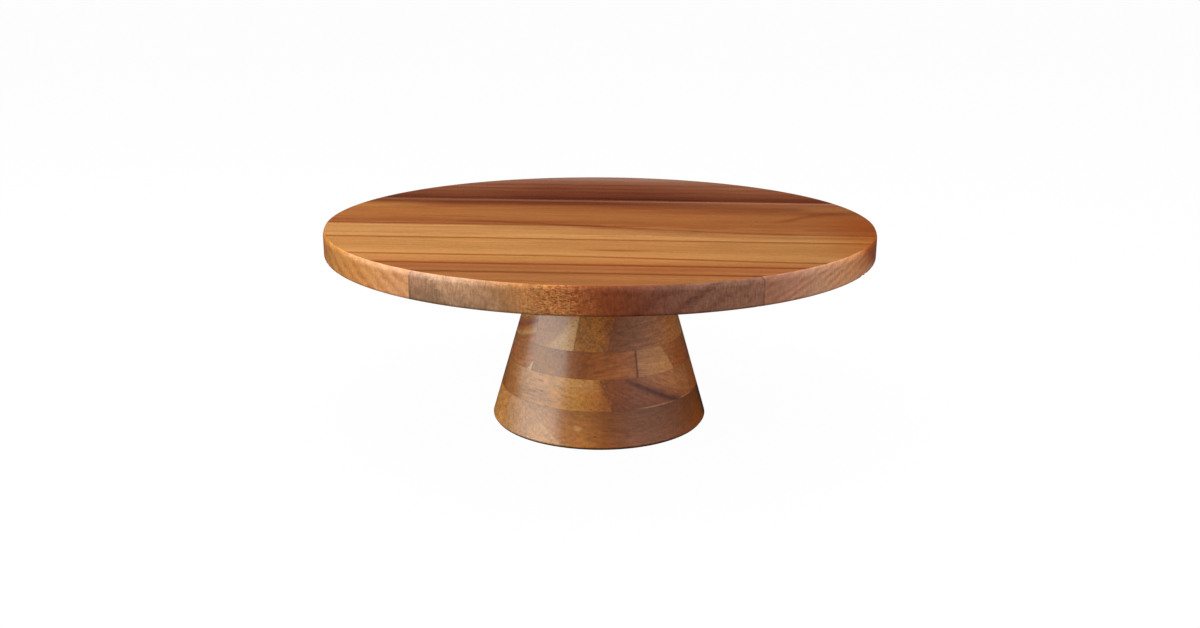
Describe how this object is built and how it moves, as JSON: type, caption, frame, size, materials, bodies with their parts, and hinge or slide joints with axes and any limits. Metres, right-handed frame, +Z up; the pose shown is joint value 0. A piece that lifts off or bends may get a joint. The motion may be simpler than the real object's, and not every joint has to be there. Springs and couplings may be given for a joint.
{
  "type": "cake stand",
  "caption": "Round wooden cake stand: a flat board-glued plate with a rounded rim on a solid, cone-shaped pedestal of stacked wood blocks.",
  "frame": {"origin": "centre of the foot, on the surface the stand rests on", "axes": "+Z up along the turning axis; the side shown in front faces -Y; the plate's boards run close to X"},
  "size_m": [0.305, 0.305, 0.1144],
  "materials": {
    "wood_mahogany": "satin lacquer",
    "wood_amber": "satin lacquer",
    "wood_honey": "satin lacquer",
    "wood_chestnut": "satin lacquer",
    "wood_plum": "satin lacquer",
    "wood_umber": "satin lacquer",
    "wood_straw": "satin lacquer",
    "wood_russet": "satin lacquer",
    "beech": "bare",
    "felt": "pressed felt",
    "steel": "bright zinc plate",
    "spring_steel": "dull zinc plate",
    "brass": "machined"
  },
  "bodies": {
    "root": {"front_board": "wood_chestnut", "narrow_board": "wood_honey", "broad_board": "wood_amber", "rear_board": "wood_mahogany", "course_1_block_1": "wood_russet", "course_1_block_2": "wood_chestnut", "course_1_block_3": "wood_umber", "course_1_block_4": "wood_plum", "course_1_block_5": "wood_amber", "course_1_block_6": "wood_umber", "course_2_block_1": "wood_straw", "course_2_block_2": "wood_umber", "course_2_block_3": "wood_plum", "course_2_block_4": "wood_russet", "course_2_block_5": "wood_chestnut", "course_3_block_1": "wood_russet", "course_3_block_2": "wood_straw", "course_3_block_3": "wood_umber", "course_3_block_4": "wood_mahogany", "course_3_block_5": "wood_chestnut", "course_3_block_6": "wood_plum", "course_3_block_7": "wood_amber", "course_3_block_8": "wood_umber", "course_4_block_1": "wood_plum", "course_4_block_2": "wood_umber", "course_4_block_3": "wood_honey", "course_4_block_4": "wood_russet", "course_4_block_5": "wood_chestnut", "course_4_block_6": "wood_plum", "course_5_block_1": "wood_chestnut", "course_5_block_2": "wood_amber", "course_5_block_3": "wood_umber", "course_5_block_4": "wood_russet", "course_5_block_5": "wood_plum", "course_5_block_6": "wood_umber", "course_6_block_1": "wood_umber", "course_6_block_2": "wood_russet", "course_6_block_3": "wood_chestnut", "course_6_block_4": "wood_honey", "course_6_block_5": "wood_plum", "felt_disc": "felt", "clamp_bolt": "steel", "spring_washer": "spring_steel", "flat_washer": "steel", "threaded_insert": "brass", "left_dowel": "beech", "right_dowel": "beech"}
  },
  "joints": []
}
